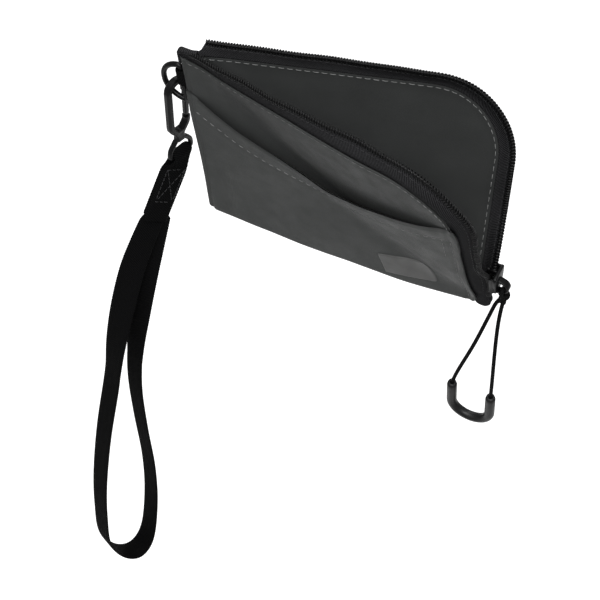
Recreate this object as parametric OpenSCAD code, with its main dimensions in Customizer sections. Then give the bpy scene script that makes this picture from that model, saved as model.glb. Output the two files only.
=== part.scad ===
// Slim zippered pouch with a wrist strap: an L-shaped zip along the top and the right side, a slip pocket
// on the front, a D-ring with a snap hook and a wrist strap on the left, and a cord puller on the slider.
// Frame: X runs along the width, -Y is the front, +Z is up, and the origin is the middle of the bottom seam.

/* [Body] */
// Width of the panels, without the zip tape
body_w = 113; // [110:1:120]
// Height of the panels, without the zip tape
body_h = 82; // [80:1:86]
// Radius of the rounded upper right corner of the panels
corner_r = 25; // [22:1:28]
// Thickness of the coated fabric
sheet_t = 0.8; // [0.6:0.1:0.8]
// Angle by which the front mouth flap is folded forward when open
open_front = 20; // [16:1:22]
// Angle by which the back mouth flap is folded backward when open
open_back = 29; // [22:1:30]

/* [Slip pocket] */
// Height of the pocket mouth at the left seam
pocket_left = 66; // [62:1:68]
// Height of the pocket mouth at the right edge
pocket_right = 64; // [60:1:66]
// Depth of the sag of the pocket mouth between its ends
pocket_sag = 15; // [8:1:16]

/* [Zip] */
// Width of each tape beside the panel, up to the middle of the coil
tape_w = 5; // [4.6:0.1:5.6]
// Thickness of the tape
tape_t = 0.6; // [0.5:0.1:0.6]
// Radius of one coil
coil_r = 0.6; // [0.5:0.05:0.6]
// Length of the slider
slider_len = 9.5; // [9:0.5:10]
// Travel of the slider along the straight right side
slider_travel = 36; // [30:1:36]

/* [Ring, hook and strap] */
// Diameter of the D-ring wire
ring_wire = 2.1; // [2:0.1:2.4]
// Radius of the D-ring, to the middle of its wire
ring_r = 8.5; // [8:0.1:9]
// Width of the wrist strap
strap_w = 10; // [9:0.5:10]
// Thickness of the strap webbing
strap_t = 1.2; // [1:0.1:1.3]

/* [Puller] */
// Diameter of the puller cord
cord_d = 1.5; // [1.3:0.1:1.6]
// Diameter of the tube of the grip
grip_d = 4; // [3.8:0.1:4.2]

/* [Hidden] */
$fn = 48;

cloth = "#46484a";
black = "#141414";

// The fold lines of both flaps run from the top left corner to the bottom right corner.
fold_len = sqrt(body_w * body_w + body_h * body_h);
fold_angle = atan(body_h / body_w);
fold_axis = [body_w, 0, -body_h];
closed_angle = 4;     // how far a flap leans outward when the mouth is shut
fold_gap = 2.2;       // from the fold line to the edge of a flap, which leaves room to fold
seam_y = 0.6;         // half of the space between the panels at the seams
coil_y = 1.5;         // from the middle plane to the middle of a coil when the mouth is shut
pocket_gap = 0.5;     // between the front panel and the pocket panel
far = 400;

// ---------- placing ----------

module at_corner() { translate([-body_w / 2, 0, 0]) children(); }

// Turns a flap about the fold line: positive angles go forward.
module folded(angle) {
    translate([body_w, 0, 0])
        rotate(angle, fold_axis)
            translate([-body_w, 0, 0]) children();
}

// The part of a flat outline beyond the fold line (upper) or before it (lower).
module beyond_fold(gap) {
    intersection() {
        children();
        translate([body_w, 0]) rotate(-fold_angle) translate([-far, gap]) square([2 * far, far]);
    }
}
module before_fold(gap) {
    intersection() {
        children();
        translate([body_w, 0]) rotate(-fold_angle) translate([-far, -far - gap]) square([2 * far, far]);
    }
}

// A plate of thickness t standing in the XZ plane, with its inner face y_in in front of the middle plane.
module front_plate(y_in, t) {
    translate([0, -y_in, 0]) rotate([90, 0, 0]) linear_extrude(t) children();
}

// ---------- outlines ----------

module panel_outline() {
    square([body_w - corner_r, body_h]);
    square([body_w, body_h - corner_r]);
    translate([body_w - corner_r, body_h - corner_r]) circle(corner_r, $fn = 96);
}

module pocket_outline() {
    steps = 12;
    mouth = [for (i = [steps : -1 : 0])
        let (t = i / steps)
            [body_w * t, pocket_left + (pocket_right - pocket_left) * t - pocket_sag * sin(180 * t)]];
    intersection() {
        panel_outline();
        polygon(concat([[0, 0], [body_w, 0]], mouth));
    }
}

// Sewn margins of the pocket along the left, bottom and right edges.
module pocket_edges() {
    margin = 2;
    square([body_w, margin]);
    square([margin, pocket_left - 4]);
    translate([body_w - margin, 0]) square([margin, body_h - corner_r]);
}

// ---------- front and back panels ----------

module front_panel_lower() {
    color(cloth) at_corner() front_plate(seam_y, sheet_t) before_fold(0.3) panel_outline();
}

module front_panel_mouth() {
    color(cloth) at_corner() folded(open_front)
        front_plate(seam_y, sheet_t) beyond_fold(fold_gap) panel_outline();
}

pocket_y = seam_y + sheet_t + pocket_gap;

module pocket_panel_lower() {
    color(cloth) at_corner() {
        front_plate(pocket_y, sheet_t) before_fold(0.3) pocket_outline();
        front_plate(pocket_y - pocket_gap, pocket_gap) before_fold(0.3) pocket_edges();
    }
}

module pocket_panel_mouth() {
    color(cloth) at_corner() folded(open_front) {
        front_plate(pocket_y, sheet_t) beyond_fold(fold_gap) pocket_outline();
        front_plate(pocket_y - pocket_gap, pocket_gap) beyond_fold(fold_gap) pocket_edges();
    }
}

module back_panel_lower() {
    color(cloth) at_corner() mirror([0, 1, 0])
        front_plate(seam_y, sheet_t) before_fold(0.3) panel_outline();
}

module back_panel_mouth() {
    color(cloth) at_corner() folded(-open_back) mirror([0, 1, 0])
        front_plate(seam_y, sheet_t) beyond_fold(fold_gap) panel_outline();
}

module bottom_seam() {
    seam_h = 1.2;
    color(cloth) at_corner() translate([1.2, -seam_y, 0]) cube([body_w - 1.2, 2 * seam_y, seam_h]);
}

module side_seam() {
    color(cloth) at_corner() translate([0, -seam_y, 0]) cube([1.2, 2 * seam_y, body_h - 3]);
}

// A plain patch on the pocket panel, near the bottom right.
module label_patch() {
    patch_t = 0.4;
    color("#55524f") at_corner() front_plate(pocket_y + sheet_t, patch_t) before_fold(0.3)
        translate([body_w * 0.68, body_h * 0.07]) square([22, 12]);
}

// ---------- zip ----------

tape_start = 9;       // height at which the tapes of the right side begin
tape_left = 7;        // distance from the left edge at which the top tapes begin
arc_steps = 10;
top_steps = 8;
side_steps = 5;

// Stations along the zip line: [point on the panel edge, outward direction], from left to bottom right.
function zip_stations() = concat(
    [for (i = [0 : top_steps - 1]) [[tape_left + (body_w - corner_r - tape_left) * i / top_steps, body_h], [0, 1]]],
    [for (i = [0 : arc_steps])
        let (a = 90 - 90 * i / arc_steps)
            [[body_w - corner_r + corner_r * cos(a), body_h - corner_r + corner_r * sin(a)],
             [cos(a), sin(a)]]],
    [for (i = [1 : side_steps])
        [[body_w, body_h - corner_r - (body_h - corner_r - tape_start) * i / side_steps], [1, 0]]]
);

// Distance of a point of the panel plane from the fold line.
function fold_distance(p) = (p[0] * body_h + p[1] * body_w - body_w * body_h) / fold_len;

// Four corners of the tape section at one station with the mouth shut: panel side, then coil side.
function tape_section(s) =
    let (d = fold_distance(s[0]))
    let (lean = d * sin(closed_angle))
    let (edge = s[0] + s[1] * 0.03)
    let (rim = s[0] + s[1] * (tape_w - coil_r))
    [[edge[0], -seam_y - lean, edge[1]],
     [edge[0], -seam_y - lean - tape_t, edge[1]],
     [rim[0], -coil_y - tape_t / 2, rim[1]],
     [rim[0], -coil_y + tape_t / 2, rim[1]]];

// A closed strip through a list of four-cornered sections.
module strip(sections) {
    n = len(sections);
    points = [for (s = sections) each s];
    sides = [for (i = [0 : n - 2]) for (k = [0 : 3])
        let (a = 4 * i + k)
        let (b = 4 * i + (k + 1) % 4)
            each [[a, b, b + 4], [a, b + 4, a + 4]]];
    polyhedron(points, concat([[3, 2, 1, 0]], sides, [[4 * n - 4, 4 * n - 3, 4 * n - 2, 4 * n - 1]]));
}

module shut_tape() {
    strip([for (s = zip_stations()) tape_section(s)]);
}

// One coil as a round bead along the top, the corner and the right side, with the mouth shut.
module shut_coil() {
    reach = corner_r + tape_w;
    translate([0, -coil_y, 0]) {
        translate([tape_left, 0, body_h + tape_w]) rotate([0, 90, 0])
            cylinder(r = coil_r, h = body_w - corner_r - tape_left);
        translate([body_w - corner_r, 0, body_h - corner_r]) rotate([90, 0, 0])
            rotate_extrude(angle = 90, $fn = 96) translate([reach, 0]) circle(coil_r);
        translate([body_w + tape_w, 0, tape_start]) cylinder(r = coil_r, h = body_h - corner_r - tape_start);
    }
}

turn_front = open_front - closed_angle;
turn_back = open_back - closed_angle;

module zip_tape_front() { color(black) at_corner() folded(turn_front) shut_tape(); }
module zip_coil_front() { color(black) at_corner() folded(turn_front) shut_coil(); }
module zip_tape_back() { color(black) at_corner() folded(-turn_back) mirror([0, 1, 0]) shut_tape(); }
module zip_coil_back() { color(black) at_corner() folded(-turn_back) mirror([0, 1, 0]) shut_coil(); }

// Sewn cloth end where the two tapes start at the top left.
module zip_top_stop() {
    end_y = 1.2;
    end_h = 3;
    color(black) at_corner() {
        translate([-end_y, -end_y, body_h - 5]) cube([end_y, 2 * end_y, 5 + end_h]);
        translate([-0.1, -end_y, body_h]) cube([tape_left, 2 * end_y, end_h]);
    }
}

// The tape ends below the slider, folded over and sewn.
module zip_end_lobe() {
    lobe_w = 5;
    lobe_h = 5;
    color(black) at_corner() translate([body_w, 1.3, 0]) rotate([90, 0, 0]) linear_extrude(2.6) {
        square([lobe_w, lobe_h / 2]);
        square([lobe_w / 2, lobe_h]);
        translate([lobe_w / 2, lobe_h / 2]) circle(lobe_w / 2);
    }
}

// ---------- slider and puller ----------

slider_x = body_w + tape_w;
slider_z = 11.5;      // bottom of the slider with the zip open
plate_gap = 1.1;      // from the zip line to each plate of the slider
plate_t = 1.1;
bail_x = slider_x + plate_gap + plate_t;
bail_z = slider_z + 2.5;

// Outer plate, post between the coils and inner keel.
module slider_body() {
    outer_w = 8;
    keel_w = 1.2;
    color("#1c1c1c") at_corner() translate([slider_x, 0, slider_z]) {
        translate([plate_gap, -outer_w / 2, 0]) cube([plate_t, outer_w, slider_len]);
        translate([-plate_gap - plate_t, -keel_w / 2, 0]) cube([plate_t, keel_w, slider_len]);
        translate([-plate_gap, -keel_w / 2, slider_len - 2.5]) cube([2 * plate_gap, keel_w, 2.5]);
    }
}

// The arch on the outer plate that the puller cord runs through.
module slider_bail() {
    bail_w = 3;
    hole_d = 2.6;
    arch_d = 4.6;
    color("#1c1c1c") at_corner() translate([bail_x, 0, bail_z]) rotate([90, 0, 0])
        translate([0, 0, -bail_w / 2]) linear_extrude(bail_w) difference() {
            union() {
                translate([0, -arch_d / 2]) square([arch_d / 2, arch_d]);
                translate([arch_d / 2, 0]) circle(arch_d / 2);
            }
            translate([arch_d / 2 - 0.1, 0]) circle(hole_d / 2);
        }
}

// A tube of eight sides swept along hand-set points that are rounded by a smooth curve.
function smooth_at(a, b, c, d, t) =
    0.5 * (2 * b + (c - a) * t + (2 * a - 5 * b + 4 * c - d) * t * t + (3 * b - a - 3 * c + d) * t * t * t);
function smooth_route(p, steps) = concat(
    [for (i = [0 : len(p) - 2])
        let (a = p[max(i - 1, 0)])
        let (d = p[min(i + 2, len(p) - 1)])
        for (k = [0 : steps - 1]) smooth_at(a, p[i], p[i + 1], d, k / steps)],
    [p[len(p) - 1]]
);
function unit(v) = v / norm(v);
function route_tangent(p, i) = unit(p[min(i + 1, len(p) - 1)] - p[max(i - 1, 0)]);

module tube(route, r) {
    sides = 8;
    n = len(route);
    points = [for (i = [0 : n - 1])
        let (t = route_tangent(route, i))
        let (across = unit(cross(t, [0.3, 1, 0.1])))
        let (up = cross(t, across))
        for (k = [0 : sides - 1]) route[i] + r * (cos(360 * k / sides) * across + sin(360 * k / sides) * up)];
    walls = [for (i = [0 : n - 2]) for (k = [0 : sides - 1])
        [i * sides + k, (i + 1) * sides + k, (i + 1) * sides + (k + 1) % sides, i * sides + (k + 1) % sides]];
    start = [for (k = [0 : sides - 1]) k];
    end = [for (k = [sides - 1 : -1 : 0]) (n - 1) * sides + k];
    polyhedron(points, concat(walls, [start, end]));
}

// The puller cord leaves the knot under the bail, runs down to the grip and comes back up.
// Route points are from the bottom right corner of the panels.
grip_y = -12.7;
grip_x = 3.9;
grip_half = 8;        // from the middle of the grip to each leg
grip_top = -41;
grip_leg = 12;
bail_hole_x = bail_x - body_w + 2.2;
knot_z = bail_z - 4.5;
cord_left = [[9.2, -0.6, 8.2], [7.5, -2.4, 5.2], [5.9, -4.8, -1.5], [2.6, -8.8, -15.4], [-2.2, -11.7, -32.6],
             [-4.1, -12.7, -41]];
cord_right = [[10.4, -0.6, 8.2], [10, -2.4, 5.4], [10.1, -5.4, -2.7], [11, -9.2, -13.5], [11.9, -12.3, -30.7],
              [11.9, -12.7, -41]];

// The loop through the bail and the knot below it.
module puller_hitch() {
    knot_d = 3.6;
    side_y = 2.6;
    color(black) at_corner() translate([body_w + bail_hole_x, 0, 0]) {
        translate([0, side_y, bail_z]) rotate([90, 0, 0]) cylinder(d = cord_d, h = 2 * side_y);
        for (y = [-side_y, side_y]) {
            translate([0, y, bail_z]) sphere(d = cord_d);
            translate([0, y, knot_z]) cylinder(d = cord_d, h = bail_z - knot_z);
            translate([0, y, knot_z]) sphere(d = cord_d);
        }
        translate([0, side_y, knot_z]) rotate([90, 0, 0]) cylinder(d = cord_d, h = 2 * side_y);
        translate([0, 0, knot_z]) sphere(d = knot_d);
    }
}

module puller_cord() {
    color(black) at_corner() translate([body_w, 0, 0]) {
        tube(smooth_route(cord_left, 3), cord_d / 2);
        tube(smooth_route(cord_right, 3), cord_d / 2);
    }
}

// The U-shaped grip tube.
module puller_grip() {
    color("#1a1c1c") at_corner() translate([body_w + grip_x, grip_y, grip_top - grip_leg]) {
        for (x = [-grip_half, grip_half]) translate([x, 0, 0]) cylinder(d = grip_d, h = grip_leg);
        rotate([90, 0, 0]) rotate([0, 0, 180])
            rotate_extrude(angle = 180, $fn = 64) translate([grip_half, 0]) circle(d = grip_d);
    }
}

// ---------- D-ring and its tab ----------

ring_x = -1.3;        // axis of the ring's bar
ring_z = 66.5;        // middle of the bar
ring_bend = 8;        // radius of the two bends of the D
shaft_gap = 0.06;

module ring_tab() {
    tab_h = 8;
    tab_z = ring_z - 1;
    tab_x = 1.6;
    color(black) at_corner() difference() {
        union() {
            translate([ring_x, -tab_x, tab_z]) cube([-ring_x, 2 * tab_x, tab_h]);
            translate([ring_x, 0, tab_z]) cylinder(r = tab_x, h = tab_h);
        }
        translate([ring_x, 0, ring_z - tab_h]) cylinder(r = ring_wire / 2 + shaft_gap, h = 2 * tab_h);
        translate([0, -tab_h, ring_z - tab_h]) cube(2 * tab_h);
    }
}

module d_ring() {
    color("#161616") at_corner() translate([ring_x, 0, ring_z]) {
        translate([0, 0, -ring_r]) cylinder(d = ring_wire, h = 2 * ring_r);
        translate([-ring_bend, 0, ring_bend - ring_r]) cylinder(d = ring_wire, h = 2 * (ring_r - ring_bend));
        translate([0, 0, ring_r - ring_bend]) rotate([90, 0, 0]) rotate([0, 0, 90])
            rotate_extrude(angle = 90, $fn = 64) translate([ring_bend, 0]) circle(d = ring_wire);
        translate([0, 0, ring_bend - ring_r]) rotate([90, 0, 0]) rotate([0, 0, 180])
            rotate_extrude(angle = 90, $fn = 64) translate([ring_bend, 0]) circle(d = ring_wire);
        for (z = [-ring_r, ring_r]) translate([0, 0, z]) sphere(d = ring_wire);
    }
}

// ---------- snap hook ----------

hook_turn = 74;       // the flat of the hook is turned from the front about +Z
hook_tilt = 7;        // the hook leans away from the pouch, to where the strap hangs
hook_pin = [-6.05, 0, 59.56];   // where the ring passes through the hook
hook_x = -5.8;
hook_y = 0.25;
hook_t = 3;
hook_half = 5.3;      // half of the width of the hook
slot_half = 2.6;
hook_top = 61.7;      // centre of the upper bend
gate_low = 44;
gate_high = 58.6;
gate_r = 1.1;         // half of the width of the gate, and its round lower end
eye_z = 25.5;         // axis of the bar that the strap goes round
eye_half = 4.5;
eye_bar = 2.2;

module hook_place() {
    at_corner() translate(hook_pin) rotate([0, hook_tilt, 0]) translate(-hook_pin)
        translate([hook_x, hook_y, 0]) rotate([0, 0, hook_turn]) children();
}
module hook_plate(t) { rotate([90, 0, 0]) translate([0, 0, -t / 2]) linear_extrude(t) children(); }

module hook_body() {
    leg = 1.5;
    color("#18191a") hook_place() {
        hook_plate(hook_t) {
            translate([-hook_half, 40]) square([hook_half - slot_half, hook_top - 40]);
            intersection() {
                translate([0, hook_top]) difference() {
                    circle(hook_half);
                    circle(slot_half);
                }
                translate([-far / 2, hook_top]) square([far, far]);
            }
            translate([slot_half, 40]) square([hook_half - slot_half, gate_low - 40]);
            translate([slot_half, gate_high]) square([hook_half - slot_half, hook_top - gate_high]);
            polygon([[-hook_half, 40], [-2.3, 35.5], [2.3, 35.5], [hook_half, 40],
                     [hook_half, 41], [slot_half, 41], [0, 39.5], [-slot_half, 41], [-hook_half, 41]]);
            difference() {
                polygon([[-2.3, 35.5], [2.3, 35.5], [eye_half + leg, 29], [eye_half + leg, eye_z],
                         [-eye_half - leg, eye_z], [-eye_half - leg, 29]]);
                polygon([[-1.6, 33], [1.6, 33], [eye_half, 29.5], [eye_half, 20], [-eye_half, 20],
                         [-eye_half, 29.5]]);
            }
        }
        translate([-eye_half - leg, 0, eye_z]) rotate([0, 90, 0]) cylinder(d = eye_bar, h = 2 * (eye_half + leg));
    }
}

// The springy tongue that closes the hook.
module hook_gate() {
    gate_t = 2.2;
    gap = 0.2;
    color("#18191a") hook_place() hook_plate(gate_t) translate([(hook_half + slot_half) / 2, gate_low + gap]) {
        translate([0, gate_r]) circle(gate_r);
        translate([-gate_r, gate_r]) square([2 * gate_r, gate_high - gate_low - gate_r - 2 * gap]);
    }
}

// ---------- wrist strap ----------

fold_w = 8.6;         // the strap is gathered where it goes round the eye
sewn_t = 3.4;

// The strap wrapped round the bar of the eye.
module strap_fold() {
    wrap_r = eye_bar / 2 + shaft_gap + strap_t;
    color(black) hook_place() translate([-fold_w / 2, 0, eye_z]) rotate([0, 90, 0]) linear_extrude(fold_w)
        difference() {
            union() {
                circle(wrap_r);
                translate([0, -wrap_r]) square([3.2, 2 * wrap_r]);
            }
            circle(eye_bar / 2 + shaft_gap);
        }
}

// Points of the strap are in the frame of the whole pouch, set by hand to the way it hangs.
strap_top = [-67.6, -1.2, 21.3];
strap_split = [-72.3, -16.4, 2.6];
loop_route = [
    [-73, -17.6, 1.9], [-75.9, -24, -7.7], [-78.9, -31, -19.3], [-81.9, -40, -37.1], [-84.9, -47, -55.9],
    [-87.7, -53, -76.6], [-91.6, -64, -105.9], [-95.3, -73, -137.1], [-97, -79, -162.1], [-98.6, -82, -186.8],
    [-96.5, -79, -205.9], [-92.9, -72, -214.6], [-89.1, -64, -206], [-86.4, -56, -179], [-84.8, -51, -149.1],
    [-84, -48, -115.2], [-83, -44.5, -85.4], [-81.3, -39, -62.6], [-78.9, -32.5, -42.9], [-76.5, -26.5, -26.3],
    [-74.1, -20.5, -11.7], [-71.7, -15.2, 1.4]
];
wide_top = [0.55, 0.65, -0.5];
wide_low = [0.92, -0.38, 0];

// The strap turns from its upper to its lower direction between these two heights.
function strap_wide(z) =
    let (k = min(1, max(0, (10 - z) / 80)))
    unit((1 - k) * wide_top + k * wide_low);

// Corners of a flat strap section: centre p, tangent t, width w and thickness h.
function strap_section(p, t, w, h) =
    let (wide = strap_wide(p[2]))
    let (across = unit(wide - (wide * t) * t))
    let (thick = cross(t, across))
    [p + across * w / 2 + thick * h / 2, p - across * w / 2 + thick * h / 2,
     p - across * w / 2 - thick * h / 2, p + across * w / 2 - thick * h / 2];

module strap_sewn_end() {
    steps = 4;
    t = unit(strap_split - strap_top);
    color(black) strip([for (i = [0 : steps])
        strap_section(strap_top + (strap_split - strap_top) * i / steps, t,
                      fold_w + (strap_w - fold_w) * i / steps, sewn_t)]);
}

// One stretch of the loop, between two of its hand-set points.
module loop_stretch(first, last) {
    route = smooth_route(loop_route, 3);
    color(black) strip([for (i = [3 * first : 3 * last])
        strap_section(route[i], route_tangent(route, i), strap_w, strap_t)]);
}

module strap_loop_left() { loop_stretch(0, 8); }
module strap_loop_bottom() { loop_stretch(8, 13); }
module strap_loop_right() { loop_stretch(13, 21); }

front_panel_lower();
front_panel_mouth();
pocket_panel_lower();
pocket_panel_mouth();
back_panel_lower();
back_panel_mouth();
bottom_seam();
side_seam();
zip_tape_front();
zip_tape_back();
zip_coil_front();
zip_coil_back();
zip_top_stop();
zip_end_lobe();
label_patch();
slider_body();
slider_bail();
puller_hitch();
puller_cord();
puller_grip();
ring_tab();
d_ring();
hook_body();
hook_gate();
strap_fold();
strap_sewn_end();
strap_loop_left();
strap_loop_bottom();
strap_loop_right();
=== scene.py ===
"""Slim zippered pouch, held open in the air: folded cloth panels, coil zip, slider with a cord puller, D-ring,
snap hook and a webbing wrist strap. Lengths are in millimetres from the bottom left corner of the panels until
they are placed, and in metres in the row frame after that."""
import math

import bpy
import numpy as np
from mathutils import Matrix, Vector, noise


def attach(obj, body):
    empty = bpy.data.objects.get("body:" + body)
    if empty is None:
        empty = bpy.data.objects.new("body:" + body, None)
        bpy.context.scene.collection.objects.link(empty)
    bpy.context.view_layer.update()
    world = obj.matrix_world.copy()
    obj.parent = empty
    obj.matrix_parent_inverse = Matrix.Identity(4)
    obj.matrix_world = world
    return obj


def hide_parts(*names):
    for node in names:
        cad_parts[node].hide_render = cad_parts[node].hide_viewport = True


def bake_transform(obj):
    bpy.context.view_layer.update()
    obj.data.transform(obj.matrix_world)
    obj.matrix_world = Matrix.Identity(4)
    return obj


MM = 0.001
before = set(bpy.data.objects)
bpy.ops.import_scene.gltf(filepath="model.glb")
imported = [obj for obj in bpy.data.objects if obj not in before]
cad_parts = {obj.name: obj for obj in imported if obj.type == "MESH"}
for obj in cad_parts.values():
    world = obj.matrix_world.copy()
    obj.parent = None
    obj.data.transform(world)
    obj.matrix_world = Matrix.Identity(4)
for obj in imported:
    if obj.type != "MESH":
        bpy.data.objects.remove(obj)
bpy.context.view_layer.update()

# ---------------------------------------------------------------- camera
CAMERA_PLACE = Vector((0.1549, -0.2632, 0.4004))
CAMERA_RIGHT = Vector((0.8843, 0.4604, -0.0776)).normalized()
CAMERA_UP = Vector((-0.3380, 0.7461, 0.5737))
CAMERA_UP = (CAMERA_UP - CAMERA_UP.dot(CAMERA_RIGHT) * CAMERA_RIGHT).normalized()
camera_data = bpy.data.cameras.new("camera")
camera_data.sensor_width = 36.0
camera_data.lens = 79.5
camera_data.clip_end = 20.0
camera = bpy.data.objects.new("camera", camera_data)
bpy.context.collection.objects.link(camera)
CAMERA_BACK = CAMERA_RIGHT.cross(CAMERA_UP)
turn = Matrix((CAMERA_RIGHT, CAMERA_UP, CAMERA_BACK)).transposed()
camera.matrix_world = Matrix.Translation(CAMERA_PLACE) @ turn.to_4x4()
bpy.context.scene.camera = camera

# ---------------------------------------------------------------- sizes of the pouch, as in the CAD
W, H, R = 113.0, 82.0, 25.0           # panels and their rounded upper right corner
TAPE = 5.0                            # from the panel edge to the middle of the coil
OPEN_FRONT, OPEN_BACK = 20.0, -29.0   # degrees that the flaps lean at rest, positive forward
SHUT_FRONT, SHUT_BACK = 16.0, -25.0   # degrees that the joints take back
L = math.hypot(W, H)
FOLD_E = np.array([W, 0, -H]) / L
CORNER = np.array([W, 0.0, 0.0])
BEND_FROM, BEND_TO = -7.0, 10.5       # the cloth bends over this distance from the fold line
CREASE = np.array([60.0, 0, 113.0]) / math.hypot(60, 113)
BLEND_FROM, BLEND_TO = -6.0, 13.0


def smooth(t):
    t = np.clip(t, 0, 1)
    return t * t * (3 - 2 * t)


def row(points):
    """Millimetres from the bottom left corner to metres in the row frame."""
    return (np.asarray(points, float) - np.array([W / 2, 0, 0])) * MM


def turned(points, degrees):
    """Points turned about the fold line; positive goes forward."""
    a = np.radians(degrees)[..., None] * np.ones(3)
    q = points - CORNER
    along = (q @ FOLD_E)[..., None] * FOLD_E
    return CORNER + q * np.cos(a) + np.cross(FOLD_E, q) * np.sin(a) + along * (1 - np.cos(a))


def opened(points, side):
    """The open shape of a flat panel: side is -1 for the front, 1 for the back."""
    points = np.asarray(points, float)
    d = (points[..., 0] * H + points[..., 2] * W - W * H) / L
    share = smooth((d - BEND_FROM) / (BEND_TO - BEND_FROM))
    return turned(points, (OPEN_FRONT if side < 0 else OPEN_BACK) * share)


def crease_share(points):
    """How far a point follows the mouth flap, as the blend computes it."""
    p = (points - np.array([0, 0, H])) @ CREASE
    return smooth((p - BLEND_FROM) / (BLEND_TO - BLEND_FROM))


def from_shut(points, side):
    """Where a point of the shut zip is at rest, so that it comes back there when the mouth shuts."""
    back = SHUT_FRONT if side < 0 else SHUT_BACK
    place = np.asarray(points, float)
    shut = place
    for _ in range(14):
        place = turned(shut, back * crease_share(place))
    return place


BLEND_START = row(np.array([0, 0, H]) + CREASE * BLEND_FROM)
BLEND_END = row(np.array([0, 0, H]) + CREASE * BLEND_TO)

# ---------------------------------------------------------------- mesh helpers


def add_mesh(name, points, faces, material, smooth_shading=True, cloth=None):
    """A mesh object; cloth holds the place of each point on the flat cloth, for the weave."""
    mesh = bpy.data.meshes.new(name)
    mesh.from_pydata([tuple(p) for p in points], [], [tuple(f) for f in faces])
    mesh.validate()
    if smooth_shading:
        mesh.polygons.foreach_set("use_smooth", [True] * len(mesh.polygons))
    if cloth is not None:
        layer = mesh.attributes.new("cloth", "FLOAT_VECTOR", "POINT")
        layer.data.foreach_set("vector", np.asarray(cloth, np.float32).ravel())
    mesh.materials.append(material)
    mesh.update()
    obj = bpy.data.objects.new(name, mesh)
    bpy.context.collection.objects.link(obj)
    return obj


def grid_faces(rows, columns, start=0, flip=False, close_rows=False, close_columns=False):
    faces = []
    for i in range(rows if close_rows else rows - 1):
        for j in range(columns if close_columns else columns - 1):
            a = start + i * columns + j
            b = start + i * columns + (j + 1) % columns
            c = start + ((i + 1) % rows) * columns + (j + 1) % columns
            d = start + ((i + 1) % rows) * columns + j
            faces.append((a, d, c, b) if flip else (a, b, c, d))
    return faces


def solid_from_grids(top, bottom):
    """A closed solid between two grids of points of the same size."""
    rows, columns = top.shape[:2]
    n = rows * columns
    faces = grid_faces(rows, columns) + grid_faces(rows, columns, n, flip=True)
    rim = [j for j in range(columns)]
    rim += [i * columns + columns - 1 for i in range(1, rows)]
    rim += [(rows - 1) * columns + j for j in range(columns - 2, -1, -1)]
    rim += [i * columns for i in range(rows - 2, 0, -1)]
    for k, a in enumerate(rim):
        b = rim[(k + 1) % len(rim)]
        faces.append((b, a, a + n, b + n))
    return np.concatenate([top.reshape(-1, 3), bottom.reshape(-1, 3)]), faces


def unit(v):
    v = np.asarray(v, float)
    return v / np.maximum(np.linalg.norm(v, axis=-1, keepdims=True), 1e-9)


def spline_point(a, b, c, d, t):
    """A point between b and c of the curve that runs through all four."""
    return 0.5 * (2 * b + (c - a) * t + (2 * a - 5 * b + 4 * c - d) * t * t + (3 * b - a - 3 * c + d) * t ** 3)


def catmull(points, steps):
    p = np.asarray(points, float)
    out = []
    for i in range(len(p) - 1):
        a, b, c, d = p[max(i - 1, 0)], p[i], p[i + 1], p[min(i + 2, len(p) - 1)]
        for k in range(steps):
            out.append(spline_point(a, b, c, d, k / steps))
    out.append(p[-1])
    return np.array(out)


def even(points, step):
    """The same line with points a fixed distance apart."""
    p = np.asarray(points, float)
    s = np.concatenate([[0], np.cumsum(np.linalg.norm(np.diff(p, axis=0), axis=1))])
    n = max(2, int(round(s[-1] / step)) + 1)
    t = np.linspace(0, s[-1], n)
    return np.stack([np.interp(t, s, p[:, k]) for k in range(3)], axis=1)


def length_along(points):
    return np.concatenate([[0], np.cumsum(np.linalg.norm(np.diff(points, axis=0), axis=1))])


def tangents(points, closed=False):
    p = np.asarray(points, float)
    if closed:
        return unit(np.roll(p, -1, axis=0) - np.roll(p, 1, axis=0))
    t = np.empty_like(p)
    t[1:-1] = p[2:] - p[:-2]
    t[0] = p[1] - p[0]
    t[-1] = p[-1] - p[-2]
    return unit(t)


def frames_along(points, closed=False, first=None):
    """Two directions across the line at each point, carried along without twist."""
    t = tangents(points, closed)
    a = np.empty_like(t)
    start = np.array(first if first is not None else [0.31, 0.9, 0.3], float)
    a[0] = unit(start - (start @ t[0]) * t[0])
    for i in range(1, len(t)):
        v = a[i - 1] - (a[i - 1] @ t[i]) * t[i]
        a[i] = unit(v)
    return a, np.cross(t, a)


def sweep(points, outline, closed=False, first=None, scales=None):
    """A closed outline, a list of (across, up), swept along a line, with capped ends."""
    a, b = frames_along(points, closed, first)
    outline = np.asarray(outline, float)
    k = len(outline)
    s = np.ones(len(points)) if scales is None else np.asarray(scales, float)
    rings = (np.asarray(points)[:, None]
             + (a[:, None] * outline[None, :, :1] + b[:, None] * outline[None, :, 1:]) * s[:, None, None])
    faces = grid_faces(len(points), k, close_rows=closed, close_columns=True, flip=True)
    if not closed:
        faces.append(tuple(range(k)))
        faces.append(tuple((len(points) - 1) * k + j for j in range(k - 1, -1, -1)))
    return rings.reshape(-1, 3), faces


def circle(radius, sides):
    a = np.arange(sides) * 2 * math.pi / sides
    return np.stack([radius * np.cos(a), radius * np.sin(a)], axis=1)


def rounded_box(width, height, radius, steps=4):
    out = []
    for cx, cy, a0 in ((1, 1, 0), (-1, 1, 90), (-1, -1, 180), (1, -1, 270)):
        for i in range(steps + 1):
            a = math.radians(a0 + 90 * i / steps)
            out.append((cx * (width / 2 - radius) + radius * math.cos(a),
                        cy * (height / 2 - radius) + radius * math.sin(a)))
    return np.array(out)


class Parts:
    """Collects several pieces of geometry into one mesh."""

    def __init__(self):
        self.points, self.faces, self.count = [], [], 0

    def add(self, points, faces):
        self.points.append(np.asarray(points, float))
        self.faces += [tuple(i + self.count for i in f) for f in faces]
        self.count += len(points)

    def all_points(self):
        return np.concatenate(self.points)


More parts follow.
